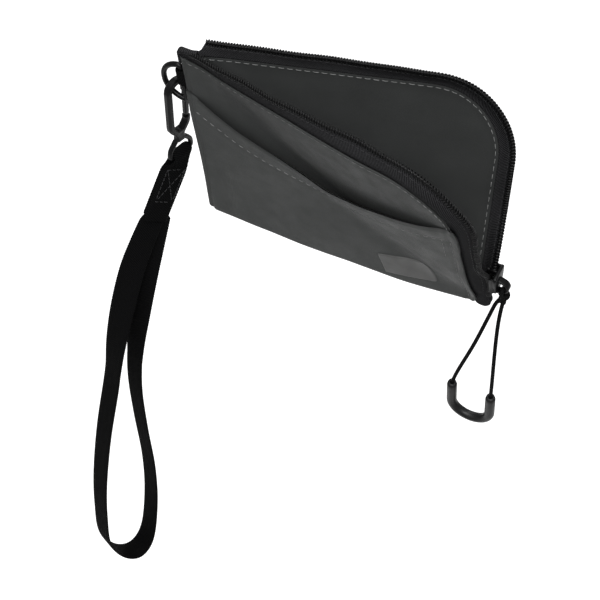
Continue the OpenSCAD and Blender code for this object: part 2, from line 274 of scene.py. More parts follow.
# ---------------------------------------------------------------- materials


def material(name, colour, roughness, specular=0.5, coat=0.0, sheen=0.0):
    m = bpy.data.materials.new(name)
    m.use_nodes = True
    tree = m.node_tree
    tree.nodes.clear()
    out = tree.nodes.new("ShaderNodeOutputMaterial")
    shader = tree.nodes.new("ShaderNodeBsdfPrincipled")
    tree.links.new(shader.outputs[0], out.inputs[0])
    shader.inputs["Base Color"].default_value = (*colour, 1)
    shader.inputs["Roughness"].default_value = roughness
    shader.inputs["Specular IOR Level"].default_value = specular
    shader.inputs["Coat Weight"].default_value = coat
    shader.inputs["Sheen Weight"].default_value = sheen
    if sheen:
        shader.inputs["Sheen Roughness"].default_value = 0.5
    return m, tree, shader


def node(tree, kind, **values):
    n = tree.nodes.new(kind)
    for key, value in values.items():
        if key in n.inputs:
            n.inputs[key].default_value = value
        else:
            setattr(n, key, value)
    return n


def position(tree, attribute=None):
    if attribute:
        return node(tree, "ShaderNodeAttribute", attribute_name=attribute).outputs["Vector"]
    return tree.nodes.new("ShaderNodeTexCoord").outputs["Object"]


def mathn(tree, operation, a, b=None):
    n = node(tree, "ShaderNodeMath", operation=operation)
    for slot, value in enumerate((a, b)):
        if value is None:
            continue
        if isinstance(value, (int, float)):
            n.inputs[slot].default_value = value
        else:
            tree.links.new(value, n.inputs[slot])
    return n.outputs[0]


def noise_value(tree, vector, scale, detail=3.0, roughness=0.55):
    n = node(tree, "ShaderNodeTexNoise", Scale=scale, Detail=detail, Roughness=roughness)
    tree.links.new(vector, n.inputs["Vector"])
    return n.outputs["Fac"]


def vary_colour(tree, shader, fac, low, high):
    ramp = node(tree, "ShaderNodeValToRGB")
    ramp.color_ramp.elements[0].position = 0.3
    ramp.color_ramp.elements[1].position = 0.7
    ramp.color_ramp.elements[0].color = (*low, 1)
    ramp.color_ramp.elements[1].color = (*high, 1)
    tree.links.new(fac, ramp.inputs[0])
    tree.links.new(ramp.outputs[0], shader.inputs["Base Color"])
    return ramp


def map_range(tree, value, from_low, from_high, to_low, to_high):
    n = node(tree, "ShaderNodeMapRange")
    limits = {"From Min": from_low, "From Max": from_high, "To Min": to_low, "To Max": to_high}
    for label, limit in limits.items():
        n.inputs[label].default_value = limit
    tree.links.new(value, n.inputs["Value"])
    return n.outputs[0]


def vary_roughness(tree, shader, fac, low, high):
    tree.links.new(map_range(tree, fac, 0.3, 0.7, low, high), shader.inputs["Roughness"])


def bump(tree, shader, height, distance, strength=1.0, below=None):
    n = node(tree, "ShaderNodeBump", Strength=strength, Distance=distance)
    tree.links.new(height, n.inputs["Height"])
    if below is not None:
        tree.links.new(below, n.inputs["Normal"])
    tree.links.new(n.outputs[0], shader.inputs["Normal"])
    return n.outputs[0]


def wave(tree, value, pitch):
    """A sine of a coordinate in metres, between 0 and 1."""
    turned_value = mathn(tree, "MULTIPLY", value, 2 * math.pi / pitch)
    return mathn(tree, "MULTIPLY_ADD", mathn(tree, "SINE", turned_value), 0.5)


def axes_of(tree, vector):
    n = tree.nodes.new("ShaderNodeSeparateXYZ")
    tree.links.new(vector, n.inputs[0])
    return n.outputs[0], n.outputs[1], n.outputs[2]


def plain_weave(tree, vector, pitch):
    """Threads over and under each other, from two coordinates in metres."""
    u, v, _ = axes_of(tree, vector)
    a = mathn(tree, "SINE", mathn(tree, "MULTIPLY", u, 2 * math.pi / pitch))
    b = mathn(tree, "SINE", mathn(tree, "MULTIPLY", v, 2 * math.pi / pitch))
    return mathn(tree, "MULTIPLY_ADD", mathn(tree, "MULTIPLY", a, b), 0.5)


def tarpaulin(name, low, high):
    """Coated cloth: the weave shows faintly through a matt coating."""
    m, tree, shader = material(name, low, 0.66, specular=0.2, sheen=0.02)
    cloth = position(tree, "cloth")
    place = position(tree)
    broad = noise_value(tree, place, 45.0, 3.0)
    vary_colour(tree, shader, broad, low, high)
    vary_roughness(tree, shader, noise_value(tree, place, 160.0, 4.0), 0.52, 0.68)
    weave = plain_weave(tree, cloth, 0.00056)
    first = bump(tree, shader, weave, 0.000045, 0.7)
    grain = noise_value(tree, cloth, 2600.0, 2.0)
    second = bump(tree, shader, grain, 0.00004, 0.55, first)
    bump(tree, shader, noise_value(tree, place, 70.0, 3.0), 0.0006, 0.35, second)
    return m


MAT_CLOTH = tarpaulin("tarpaulin_grey", (0.0400, 0.0422, 0.0412), (0.0445, 0.0468, 0.0458))
# The front panel's cloth is the same grey cloth painted darker: painted shade on the flap, which leans forward
# away from the light.
MAT_FLAP_PAINTED_SHADE = tarpaulin("tarpaulin_flap_painted_shade", (0.0310, 0.0327, 0.0320), (0.0345, 0.0363, 0.0356))
# The back panel's inner face and the seam folds lie inside the pouch: their copies of the grey cloth are
# painted darker, painted shade inside the pouch.
MAT_BACK_PAINTED_SHADE = tarpaulin("tarpaulin_back_painted_shade", (0.0205, 0.0216, 0.0213), (0.0240, 0.0252, 0.0249))
MAT_INSIDE_PAINTED_SHADE = tarpaulin("tarpaulin_inside_painted_shade", (0.026, 0.027, 0.027), (0.031, 0.032, 0.032))


def woven_black(name, pitch, tone, painted_glint=0.0):
    """Black woven polyester with a herringbone of fine threads; the raised threads are painted lighter, a
    painted highlight.
    """
    m, tree, shader = material(name, tone, 0.82, specular=0.05, sheen=0.0)
    cloth = position(tree, "cloth")
    u, v, _ = axes_of(tree, cloth)
    slant = mathn(tree, "ADD", u, mathn(tree, "MULTIPLY", v, 0.75))
    twill = wave(tree, slant, pitch)
    fine = noise_value(tree, cloth, 3400.0, 2.0)
    height = mathn(tree, "ADD", twill, mathn(tree, "MULTIPLY", fine, 1.1))
    bump(tree, shader, height, 0.00012, 0.9)
    # painted highlight: the tops of the threads get a lighter colour, far lighter on the zip tape
    bright = tuple(c * (2.6 + painted_glint) for c in tone)
    ramp = vary_colour(tree, shader, mathn(tree, "MULTIPLY", height, 0.55), tone, bright)
    ramp.color_ramp.elements[0].position = 0.45
    ramp.color_ramp.elements[1].position = 0.95
    return m


MAT_TAPE = woven_black("zip_tape_black", 0.00062, (0.0055, 0.0055, 0.0058), 5.0)
MAT_WEB = woven_black("webbing_black", 0.0009, (0.0014, 0.0014, 0.0015), 1.0)


def moulded(name, tone, roughness, specular=0.35, coat=0.0, grain=0.00002, scale=900.0):
    m, tree, shader = material(name, tone, roughness, specular=specular, coat=coat)
    place = position(tree)
    vary_roughness(tree, shader, noise_value(tree, place, 220.0, 4.0), roughness * 0.85, roughness * 1.15)
    bright = tuple(c * 1.35 for c in tone)
    vary_colour(tree, shader, noise_value(tree, place, 120.0, 3.0), tone, bright)
    bump(tree, shader, noise_value(tree, place, scale, 3.0), grain, 0.6)
    return m


MAT_HOOK = moulded("hook_plastic_black", (0.0028, 0.0028, 0.003), 0.42, 0.16)
MAT_RING = moulded("ring_lacquer_black", (0.002, 0.002, 0.0022), 0.34, 0.2)
MAT_SLIDER = moulded("slider_lacquer_black", (0.0015, 0.0015, 0.0017), 0.4, 0.2)
MAT_COIL = moulded("coil_nylon_black", (0.0015, 0.0015, 0.0017), 0.42, 0.22)
MAT_GRIP = moulded("grip_soft_black", (0.0045, 0.0047, 0.005), 0.42, 0.3, grain=0.00003, scale=1500.0)
MAT_LABEL = moulded("label_patch_grey", (0.078, 0.078, 0.077), 0.5, 0.25, grain=0.00003, scale=1300.0)
MAT_THREAD = moulded("thread_pale_grey", (0.135, 0.137, 0.135), 0.7, 0.2, grain=0.00003, scale=5000.0)
MAT_THREAD_BLACK = moulded("thread_black", (0.012, 0.012, 0.013), 0.6, 0.3, grain=0.00003, scale=5000.0)


def braided(name, tone):
    m, tree, shader = material(name, tone, 0.75, specular=0.08)
    place = position(tree)
    x, _, z = axes_of(tree, place)
    a = wave(tree, mathn(tree, "ADD", x, z), 0.0007)
    b = wave(tree, mathn(tree, "SUBTRACT", x, z), 0.0007)
    height = mathn(tree, "MULTIPLY", a, b)
    bump(tree, shader, height, 0.0001, 0.9)
    # painted highlight: the raised crossings of the braid get a lighter colour
    vary_colour(tree, shader, height, tone, tuple(c * 2.2 for c in tone))
    return m


MAT_CORD = braided("cord_black", (0.0022, 0.0022, 0.0024))

# ---------------------------------------------------------------- puller cord, first of the free pieces


def rigid_piece(obj, body, replaces):
    """Says which body carries a piece and which CAD nodes it stands for."""
    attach(obj, body)
    if replaces:
        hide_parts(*replaces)


BAIL_X, BAIL_Z = 122.4, 14.0
CORD_D = 1.5
GRIP_X, GRIP_Y, GRIP_TOP, GRIP_LEG, GRIP_HALF = W + 3.9, -12.7, -41.0, 12.0, 8.0
# The cord's points were solved by a separate program from points picked on the photograph, through the fitted
# camera, and then adjusted; they are not round numbers chosen by hand. The same holds for part.scad.
CORD_LEFT = np.array([[9.2, -0.6, 8.2], [7.5, -2.4, 5.2], [5.9, -4.8, -1.5], [2.6, -8.8, -15.4],
                      [-2.2, -11.7, -32.6], [-4.1, -12.7, -41]]) + CORNER
CORD_RIGHT = np.array([[10.4, -0.6, 8.2], [10, -2.4, 5.4], [10.1, -5.4, -2.7], [11, -9.2, -13.5],
                       [11.9, -12.3, -30.7], [11.9, -12.7, -41]]) + CORNER


def grip_route(extra=0.0):
    """Down one leg, round the bend and up the other leg of the grip."""
    low = GRIP_TOP - GRIP_LEG
    legs = [[GRIP_X - GRIP_HALF, GRIP_Y, z] for z in np.linspace(GRIP_TOP + extra, low + 1, 8)]
    bend = [[GRIP_X - GRIP_HALF * math.cos(a), GRIP_Y, low - GRIP_HALF * math.sin(a)]
            for a in np.linspace(0, math.pi, 25)]
    rise = [[GRIP_X + GRIP_HALF, GRIP_Y, z] for z in np.linspace(low + 1, GRIP_TOP + extra, 8)]
    return np.array(legs + bend + rise)


def poly_curve(name, points, radius, mat):
    data = bpy.data.curves.new(name, "CURVE")
    data.dimensions = "3D"
    data.bevel_depth = radius
    data.bevel_resolution = 3
    data.use_fill_caps = True
    spline = data.splines.new("POLY")
    spline.points.add(len(points) - 1)
    for p, q in zip(spline.points, points):
        p.co = (*q, 1)
    data.materials.append(mat)
    obj = bpy.data.objects.new(name, data)
    bpy.context.collection.objects.link(obj)
    return obj


left = catmull(CORD_LEFT, 10)
right = catmull(CORD_RIGHT, 10)
cord_line = even(np.concatenate([left[:-1], grip_route(-0.5), right[::-1][1:]]), 0.8)
cord_line = row(cord_line)
puller_cord = poly_curve("puller_cord_line", cord_line, CORD_D / 2 * MM, MAT_CORD)
rigid_piece(puller_cord, "puller", ["puller_cord"])

# the knot under the bail, and the turn of cord through it
knot = Parts()
KNOT = np.array([BAIL_X, 0.0, BAIL_Z - 5.5])
a = np.linspace(0, 2 * math.pi, 97)[:-1]
trefoil = np.stack([np.sin(a) + 2 * np.sin(2 * a), np.cos(a) - 2 * np.cos(2 * a), -np.sin(3 * a)], axis=1)
trefoil = KNOT + trefoil * np.array([0.56, 0.62, 0.85])
knot.add(*sweep(trefoil, circle(0.78, 10), closed=True))
turn_points = [[0, 0.2, -0.6], [0, 1.6, 0.6], [0, 2.35, 2.6], [0, 2.2, 4.3], [0, 1.1, 5.0], [0, -1.1, 5.0],
               [0, -2.2, 4.3], [0, -2.35, 2.6], [0, -1.6, 0.6], [0, -0.2, -0.6]]
turn_line = catmull(np.array(turn_points) + KNOT, 8)
knot.add(*sweep(turn_line, circle(0.74, 10), first=[1, 0, 0]))
for x, y in ((-0.8, -0.6), (0.8, -0.6)):
    stub = np.array([[x * 0.3, y * 0.3, 0.4], [x, y, -1.2], [x, y - 0.6, -3.0]]) + KNOT
    knot.add(*sweep(catmull(stub, 5), circle(0.74, 10)))
hitch = add_mesh("puller_hitch_knot", row(knot.all_points()), knot.faces, MAT_CORD)
rigid_piece(hitch, "puller", ["puller_hitch"])

# the grip: a hollow soft tube with rolled ends
route = grip_route()
along = length_along(route)
near_end = np.minimum(along, along[-1] - along)
outer = 2.0 - 0.45 * (1 - smooth(near_end / 0.7)) + 0.06 * np.cos(near_end * 1.2) * np.exp(-near_end / 3)
a1, b1 = frames_along(route, first=[0, 1, 0])
GRIP_SIDES = 24
ring = circle(1.0, GRIP_SIDES)


def tube_rings(line, radii):
    spokes = a1[:, None] * ring[None, :, :1] + b1[:, None] * ring[None, :, 1:]
    return line[:, None] + spokes * radii[:, None, None]


skin = tube_rings(route, outer)
bore = tube_rings(route, np.full(len(route), 0.82))
count = len(route) * GRIP_SIDES
last = count - GRIP_SIDES
grip_faces = grid_faces(len(route), GRIP_SIDES, close_columns=True, flip=True)
grip_faces += grid_faces(len(route), GRIP_SIDES, count, close_columns=True)
for j in range(GRIP_SIDES):
    k = (j + 1) % GRIP_SIDES
    grip_faces.append((j, k, count + k, count + j))
    grip_faces.append((last + k, last + j, count + last + j, count + last + k))
grip_points = np.concatenate([skin.reshape(-1, 3), bore.reshape(-1, 3)])
grip = add_mesh("puller_grip_tube", row(grip_points), grip_faces, MAT_GRIP)
rigid_piece(grip, "puller", ["puller_grip"])
tuple(row(KNOT + np.array([0, 0, -1.5])))

# ---------------------------------------------------------------- the panels, flat
THICK = 0.75
EDGE_R = 1.7
SEWN_IN, SEWN_BACK = 3.0, 1.7    # the topstitching runs this far inside the zip seam


def panel_top(x):
    x = np.asarray(x, float)
    over = np.clip(x - (W - R), 0, R)
    return H - R + np.sqrt(np.maximum(R * R - over * over, 0))


def panel_bottom(x):
    x = np.asarray(x, float)
    left_r, right_r = 4.5, 3.0
    a = left_r - np.sqrt(np.maximum(left_r ** 2 - np.clip(left_r - x, 0, left_r) ** 2, 0))
    b = right_r - np.sqrt(np.maximum(right_r ** 2 - np.clip(x - (W - right_r), 0, right_r) ** 2, 0))
    return a + b


def outline_distance(x, z):
    """Distance inside the zip seam: the top edge, the rounded corner and the right edge."""
    cx, cz = W - R, H - R
    corner = R - np.hypot(np.maximum(x - cx, 0), np.maximum(z - cz, 0))
    return np.where((x > cx) & (z > cz), corner, np.minimum(W - x, H - z))


def closed_edge(x, z):
    """Distance inside the folded left and bottom edges."""
    return np.minimum(x, z - panel_bottom(x))


def round_over(distance, radius=EDGE_R):
    t = np.clip(distance / radius, 0, 1)
    return np.sqrt(np.maximum(1 - (1 - t) ** 2, 0))


def bow(x, z):
    """The bottom seam of the pouch bows a little to the front."""
    return -2.2 * np.sin(math.pi * np.clip(x / W, 0, 1)) * np.clip(1 - z / H, 0, 1)


def wrinkles(x, z, seed, size, depth):
    out = np.empty(x.size)
    for i, (u, v) in enumerate(zip(x.ravel(), z.ravel())):
        out[i] = noise.noise(Vector((u / size + seed, v / size - seed, seed * 3.7)))
    return out.reshape(x.shape) * depth


def puffed(x, z, height):
    """A panel's outer face before its wrinkles: rounded out most in the middle."""
    across = np.sin(math.pi * np.clip(x / W, 0, 1)) ** 0.7
    return 1.25 + height * across * np.sin(math.pi * np.clip(z / (1.25 * H), 0, 1)) ** 0.8


def front_out(x, z):
    """How far the outer face of the front panel stands before the middle plane."""
    base = puffed(x, z, 1.5) + wrinkles(x, z, 3.1, 30.0, 0.9) + wrinkles(x, z, 7.7, 11.0, 0.16)
    seam = outline_distance(x, z)
    groove = 0.2 * np.exp(-((seam - SEWN_IN) / 0.9) ** 2) + 0.3 * np.exp(-((x - 2.4) / 0.45) ** 2)
    lip = 0.35 * np.exp(-((seam - 1.0) / 1.0) ** 2)
    return (base - groove + lip) * round_over(closed_edge(x, z))


POCKET_LEFT, POCKET_RIGHT, POCKET_SAG = 66.0, 64.0, 15.0
POCKET_ROW = 8.0          # from the pocket mouth to its row of stitches


def pocket_mouth(x):
    """Height of the pocket's folded mouth, which sags between its ends."""
    t = np.clip(np.asarray(x, float) / W, 0, 1)
    mouth = POCKET_LEFT + (POCKET_RIGHT - POCKET_LEFT) * t - POCKET_SAG * np.sin(math.pi * t)
    return np.minimum(mouth, panel_top(x) - 0.2)


def pocket_out(x, z):
    """Outer face of the pocket panel: on the front panel, standing off it at the mouth."""
    under = pocket_mouth(x) - z
    gape = 3.4 * np.sin(math.pi * np.clip((x - 5) / (W - 12), 0, 1)) ** 0.7
    gape = gape * np.exp(-np.maximum(under, 0) / 13.0)
    crease = 0.9 * np.exp(-((x - 9 - 0.10 * (z - 10)) / 3.2) ** 2) * smooth((z - 1) / 8) * smooth((44 - z) / 26)
    row_dip = 0.22 * np.exp(-((under - POCKET_ROW) / 0.9) ** 2)
    side_dip = 0.2 * np.exp(-((W - x - 3.2) / 0.8) ** 2) + 0.25 * np.exp(-((x - 2.6) / 0.7) ** 2)
    body = front_out(x, z) + 0.95 * round_over(closed_edge(x, z), 1.2)
    more = wrinkles(x, z, 11.3, 22.0, 0.55)
    edge = round_over(closed_edge(x, z))
    return body + (gape - crease - row_dip - side_dip + more) * edge * round_over(W - x + 0.3, 2.5)


def surface(x, z, out, side):
    """Points in the row frame, in millimetres, of a face that stands out from the middle plane."""
    flat = np.stack([x, side * out + bow(x, z), z], axis=-1)
    return opened(flat, side)


def columns_of(step=1.6):
    xs = list(np.array([0, 0.12, 0.35, 0.7, 1.15, 1.7, 2.2, 2.6, 3.0, 3.8, 4.8]))
    xs += list(np.arange(6.2, W - R, step))
    xs += [W - R + R * math.sin(a) for a in np.linspace(0, math.pi / 2, 30)]
    return np.array(xs)


def heights_of(count=64):
    low = np.array([0, 0.1, 0.35, 0.7, 1.2, 1.8, 2.6])
    return low, np.linspace(0, 1, count)[1:]


def sheet_grid(top, count=64):
    """x and z of a grid that fills the panel up to a top line, finer at the folded edges."""
    xs = columns_of()
    low, rest = heights_of(count)
    bottom = panel_bottom(xs)
    span = top(xs) - bottom
    z = [bottom + h for h in low] + [bottom + low[-1] + (span - low[-1]) * t for t in rest]
    z = np.array(z)
    x = np.repeat(xs[None, :], len(z), axis=0)
    return x, z


def cloth_map(x, z):
    return np.stack([x * MM, z * MM, 0 * x], axis=-1).reshape(-1, 3)


def soft_piece(obj, replaces):
    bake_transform(obj)
    if replaces:
        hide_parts(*replaces)


def sheet_object(name, x, z, out, inner, side, mat, flip):
    outer_face = surface(x, z, out, side)
    inner_face = surface(x, z, inner, side)
    a, b = (outer_face, inner_face) if not flip else (inner_face, outer_face)
    points, faces = solid_from_grids(a, b)
    cloth = np.concatenate([cloth_map(x, z)] * 2)
    return add_mesh(name, row(points), faces, mat, cloth=cloth)


FRONT_SHORT = 1.3


def front_top(x):
    """The front panel ends a little short of the seam line, where the tape comes out from under it."""
    return panel_top(np.minimum(np.asarray(x, float) * (W / (W - FRONT_SHORT)), W)) - FRONT_SHORT


x, z = sheet_grid(front_top)
x = x * ((W - FRONT_SHORT) / W)
out = front_out(x, z)
# the front panel takes the darker copy of the cloth: painted shade
front = sheet_object("front_panel", x, z, out, out - THICK * round_over(closed_edge(x, z)), -1, MAT_FLAP_PAINTED_SHADE, True)
soft_piece(front, ["front_panel_lower", "front_panel_mouth"])


def back_out(x, z):
    """How far the outer face of the back panel stands behind the middle plane."""
    base = puffed(x, z, 1.3) + wrinkles(x, z, 5.9, 28.0, 0.9) + wrinkles(x, z, 1.7, 10.0, 0.14)
    seam = outline_distance(x, z)
    groove = 0.2 * np.exp(-((seam - SEWN_BACK) / 0.9) ** 2)
    return (base - groove) * round_over(closed_edge(x, z))


x, z = sheet_grid(panel_top)
out = back_out(x, z)
# the back panel shows its inner face and takes the darker copy of the cloth: painted shade
back = sheet_object("back_panel", x, z, out, out - THICK * round_over(closed_edge(x, z)), 1, MAT_BACK_PAINTED_SHADE, False)
soft_piece(back, ["back_panel_lower", "back_panel_mouth"])

# pocket: its top is a folded hem, so the sheet is thicker there and its edge is round
x, z = sheet_grid(pocket_mouth, 44)
out = pocket_out(x, z)
under = pocket_mouth(x) - z
hem = 0.45 * smooth((POCKET_ROW + 1.2 - under) / 0.8)
thick = 0.7 * round_over(closed_edge(x, z), 1.2) + hem * round_over(closed_edge(x, z))
roll = np.sqrt(np.clip(1 - (1 - np.clip(under / 0.6, 0, 1)) ** 2, 0, 1))
middle = out - thick / 2
half = thick / 2 * roll
pocket = sheet_object("pocket_panel", x, z, middle + half, middle - half, -1, MAT_CLOTH, True)
soft_piece(pocket, ["pocket_panel_lower", "pocket_panel_mouth"])

# ---------------------------------------------------------------- label patch, blank


def patch_solid(name, side, corners, radius_right, lift, thickness, mat, cells=(26, 14)):
    """A thin patch with rounded right corners, lying on the pocket. corners: left, right, bottom, top."""
    x0, x1, z0, z1 = corners
    u = np.linspace(0, 1, cells[0])
    v = np.linspace(0, 1, cells[1])
    us = np.concatenate([[0, 0.012], u[1:-1], [0.988, 1]])
    vs = np.concatenate([[0, 0.03], v[1:-1], [0.97, 1]])
    px = x0 + (x1 - x0) * us
    over = np.clip(px - (x1 - radius_right), 0, radius_right)
    cut = radius_right - np.sqrt(np.maximum(radius_right ** 2 - over ** 2, 0))
    x = np.repeat(px[None, :], len(vs), axis=0)
    z = z0 + cut * 0.3 + (z1 - z0 - cut * 1.3) * vs[:, None] + 0 * x
    rim = np.minimum.reduce([x - x0, x1 - x, (z - z0), (z1 - z)])
    height = lift + thickness * round_over(np.maximum(rim, 0), 0.3)
    rise = (z - z0) / (z1 - z0)
    x, z = x + 3.0 * (0.5 - rise), z + (x - x0) * (0.16 + 0.1 * rise)
    base = pocket_out(x, z)
    return sheet_object(name, x, z, base + height, base - 0.15 + 0 * x, side, mat, True)


label = patch_solid("label_patch_blank", -1, (76.4, 97.0, 3.9, 13.6), 3.5, 0.02, 0.38, MAT_LABEL)
soft_piece(label, ["label_patch"])

# ---------------------------------------------------------------- stitches


def stitch_row(parts, place, start, end, pitch=3.0, share=0.74, radius=0.14, sides=6, rise=0.14):
    """Separate stitches along a line: place(s, lift) gives points, s in millimetres along the row."""
    s = start
    k = 0
    while s + pitch * share < end:
        wobble = 0.12 * math.sin(12.9 * k + start)
        t = np.linspace(0, 1, 7)
        lift = -0.30 + (rise + 0.30) * np.sin(math.pi * t) ** 0.5
        points = place(s + wobble + t * pitch * share, lift)
        parts.add(*sweep(points, circle(radius, sides)))
        s += pitch
        k += 1


# arc length along the zip seam from the top left corner to the bottom right one
TOP_RUN, ARC_RUN = W - R, R * math.pi / 2
SEAM_RUN = TOP_RUN + ARC_RUN + H - R


def seam_line(s, inside=0.0):
    """Point and outward direction at s along the zip seam, moved inside by some millimetres."""
    s = np.asarray(s, float)
    a = np.clip((s - TOP_RUN) / R, 0, math.pi / 2)
    nx, nz = np.sin(a), np.cos(a)
    x = np.minimum(s, TOP_RUN) + R * np.sin(a)
    z = H - R + R * np.cos(a) - np.maximum(s - TOP_RUN - ARC_RUN, 0)
    return x - nx * inside, z - nz * inside, nx, nz


def seam_row(face, side, inside, outer=True):
    """A row beside the zip seam, on the outer or the inner face of a panel."""
    def place(s, lift):
        x, z, _, _ = seam_line(s, inside)
        height = face(x, z) + lift if outer else face(x, z) - THICK - lift
        return surface(x, z, height, side)
    return place


def pocket_row_place(s, lift):
    z = pocket_mouth(s) - POCKET_ROW
    return surface(s, z, pocket_out(s, z) + lift, -1)


def pocket_side_place(inside):
    def place(s, lift):
        x = W - inside + 0 * s
        return surface(x, s, pocket_out(x, s) + lift, -1)
    return place


front_thread = Parts()
side_top = H - R - 1.0
stitch_row(front_thread, seam_row(front_out, -1, SEWN_IN), 3.2, SEAM_RUN - (side_top + 1.5))
stitch_row(front_thread, pocket_row_place, 3.5, W - 1.0)
stitch_row(front_thread, pocket_side_place(SEWN_IN), 3.0, side_top)
stitch_row(front_thread, pocket_side_place(SEWN_IN + 3.0), side_top - 16.0, side_top)
stitch_row(front_thread, seam_row(front_out, -1, SEWN_IN, outer=False), 4.0, SEAM_RUN - 6)
front_stitches = add_mesh("front_stitches", row(front_thread.all_points()), front_thread.faces, MAT_THREAD)
soft_piece(front_stitches, [])

back_thread = Parts()
stitch_row(back_thread, seam_row(back_out, 1, SEWN_BACK, outer=False), 4.0, SEAM_RUN - 5)
stitch_row(back_thread, seam_row(back_out, 1, SEWN_BACK), 4.0, SEAM_RUN - 5)
back_stitches = add_mesh("back_stitches", row(back_thread.all_points()), back_thread.faces, MAT_THREAD)
soft_piece(back_stitches, [])

# ---------------------------------------------------------------- zip tapes and coils
RIM_Y = {-1: -1.4, 1: 1.7}       # where the middle of a coil lies when the mouth is shut
ZIP_END = SEAM_RUN - 3.0


def rim_reach(s, side):
    """Width of the tape outside the seam: narrow at the corner, then the coil side steps up."""
    start, over = (1.0, 8.0) if side < 0 else (6.6, 2.6)
    return 1.3 + (TAPE - 1.3) * smooth((s - start) / over)


def tape_point(s, r, side, lift=0.0):
    """A point of the tape r millimetres outside the seam, lifted towards the outside of the pouch."""
    s, r = np.broadcast_arrays(np.asarray(s, float), np.asarray(r, float))
    x0, z0, nx, nz = seam_line(s)
    x, z = x0 + nx * r, z0 + nz * r
    out_here = (front_out if side < 0 else back_out)(np.minimum(x0, W - 0.2), np.minimum(z0, H - 0.2))
    flat = np.stack([x, side * (out_here - THICK - 0.28 + lift) + bow(x0, z0), z], axis=-1)
    on_panel = opened(flat, side)
    slack = 0.35 * np.sin(s / 8.3 + side) + 0.25 * np.sin(s / 3.7)
    ends = smooth(s / 10.0) * smooth((SEAM_RUN - 12 - s) / 20.0)
    near = 0.25 + 0.75 * smooth((SEAM_RUN - s - 2) / 12.0)
    rim_y = RIM_Y[side] * (0.5 + 0.5 * near) + slack * ends * 0.8 + side * lift
    rim = from_shut(np.stack([x, rim_y, z], axis=-1), side)
    k = smooth(np.clip(r / TAPE, 0, 1) ** 0.9)[..., None]
    return on_panel * (1 - k) + rim * k


def tape_object(name, side, replaces):
    s = np.concatenate([np.arange(0.0, 12, 0.8), np.arange(12.0, ZIP_END - 30, 1.6),
                        np.arange(ZIP_END - 30, ZIP_END, 1.0), [ZIP_END]])
    across = np.linspace(0, 1, 13)
    grid_s = np.repeat(s[:, None], len(across), axis=1)
    reach = rim_reach(grid_s, side)
    hidden = 2.4 if side < 0 else 0.5
    r = -hidden + (reach - 0.35 + hidden) * across[None, :]
    selvedge = 0.04 * np.sin(grid_s * 2 * math.pi / 1.7) * (across[None, :] > 0.95)
    rib = 0.10 * np.exp(-((r - reach + 2.6) / 0.35) ** 2)
    top = tape_point(grid_s, r + selvedge, side, 0.27 + rib)
    bottom = tape_point(grid_s, r + selvedge, side, -0.27 - rib)
    a, b = (top, bottom) if side < 0 else (bottom, top)
    points, faces = solid_from_grids(a, b)
    cloth = np.stack([grid_s * MM, r * MM, 0 * r], axis=-1).reshape(-1, 3)
    obj = add_mesh(name, row(points), faces, MAT_TAPE, cloth=np.concatenate([cloth] * 2))
    soft_piece(obj, replaces)
    return obj


tape_object("zip_tape_front_woven", -1, ["zip_tape_front"])
tape_object("zip_tape_back_woven", 1, ["zip_tape_back"])


def coil_object(name, side, replaces):
    pitch = 1.0
    start, end = (6.0 if side < 0 else 8.8), ZIP_END - 4.0
    per_turn = 10
    n = int((end - start) / pitch * per_turn)
    s = np.linspace(start, end, n)
    reach = rim_reach(s, side)
    inner = tape_point(s, reach - 1.2, side)
    rim = tape_point(s, reach - 0.3, side)
    u = unit(rim - inner)
    t = tangents(rim)
    v = np.cross(t, u)
    phase = 2 * math.pi * (s - start) / pitch
    centre = rim + u * (-0.45)
    line = (centre + u * (0.85 * np.cos(phase))[:, None] + v * (0.62 * np.sin(phase))[:, None]
            + t * (0.22 * np.sin(phase + 0.6))[:, None])
    coil = Parts()
    coil.add(*sweep(line, circle(0.32, 6), first=u[0]))
    coil.add(*sweep(centre[::5], circle(0.55, 8), first=u[0]))
    obj = add_mesh(name, row(coil.all_points()), coil.faces, MAT_COIL)
    soft_piece(obj, replaces)
    return obj


coil_object("zip_coil_front_teeth", -1, ["zip_coil_front"])
coil_object("zip_coil_back_teeth", 1, ["zip_coil_back"])

# two rows of thread that hold each coil on its tape, one on each face
COIL_SEWN_IN = 2.2


def coil_row(side, face):
    def place(s, lift):
        return tape_point(s, rim_reach(s, side) - COIL_SEWN_IN, side, face * (0.30 + lift))
    return place


for side, name in ((-1, "zip_sewing_front"), (1, "zip_sewing_back")):
    chain = Parts()
    for face in (1, -1):
        stitch_row(chain, coil_row(side, face), 6.0, ZIP_END - 6, pitch=2.0, share=0.8, radius=0.14, sides=5,
                   rise=0.1)
    obj = add_mesh(name, row(chain.all_points()), chain.faces, MAT_THREAD_BLACK)
    soft_piece(obj, [])

# ---------------------------------------------------------------- ends of the zip
top_end = Parts()
upright = np.array([[-0.35, 0, z] for z in np.linspace(77.0, 82.8, 16)])
top_end.add(*sweep(upright, rounded_box(1.5, 2.2, 0.6), first=[1, 0, 0],
                   scales=[0.6, 0.9] + [1.0] * 12 + [0.9, 0.6]))
lying = np.array([[x, 0, 83.1 - 0.05 * x] for x in np.linspace(-0.4, 7.0, 16)])
top_end.add(*sweep(lying, rounded_box(2.2, 1.9, 0.6), first=[0, 1, 0],
                   scales=[0.6, 0.9] + [1.0] * 12 + [0.85, 0.5]))
points = top_end.all_points()
cloth = np.stack([points[:, 0] * MM, points[:, 2] * MM, points[:, 1] * MM], axis=-1)
top_obj = add_mesh("zip_top_end", row(points), top_end.faces, MAT_TAPE, cloth=cloth)
rigid_piece(top_obj, "pouch", ["zip_top_stop"])

